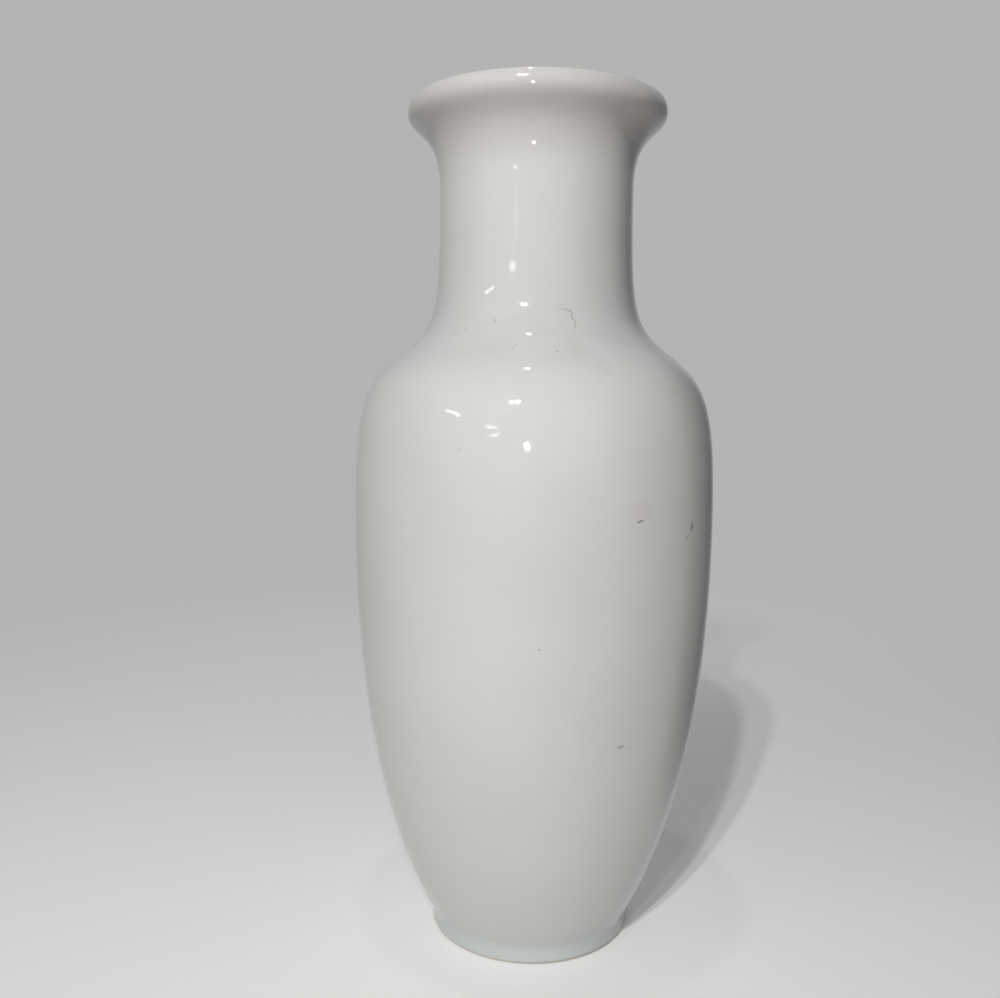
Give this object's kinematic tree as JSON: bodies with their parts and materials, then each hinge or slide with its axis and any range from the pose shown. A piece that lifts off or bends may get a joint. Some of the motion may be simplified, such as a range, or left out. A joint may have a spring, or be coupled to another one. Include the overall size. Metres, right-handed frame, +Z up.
{
  "type": "bud vase",
  "caption": "White glazed porcelain bud vase: turned baluster body on a low foot ring, rounded shoulder, near-straight neck and everted rolled mouth, open inside for water and stems.",
  "frame": {"origin": "centre of the foot ring's resting face, on the table", "axes": "+Z up along the axis that the vase was turned about, -Y towards the viewer of the picture"},
  "size_m": [0.0782, 0.0782, 0.18],
  "materials": {
    "white_glaze": "glossy transparent glaze over white porcelain",
    "bare_clay": "bare fired porcelain clay, fine matt"
  },
  "bodies": {
    "root": {"lower_body": "white_glaze", "belly_slip_seam": "bare_clay", "upper_body": "white_glaze", "neck_slip_seam": "bare_clay", "neck": "white_glaze"}
  },
  "joints": []
}
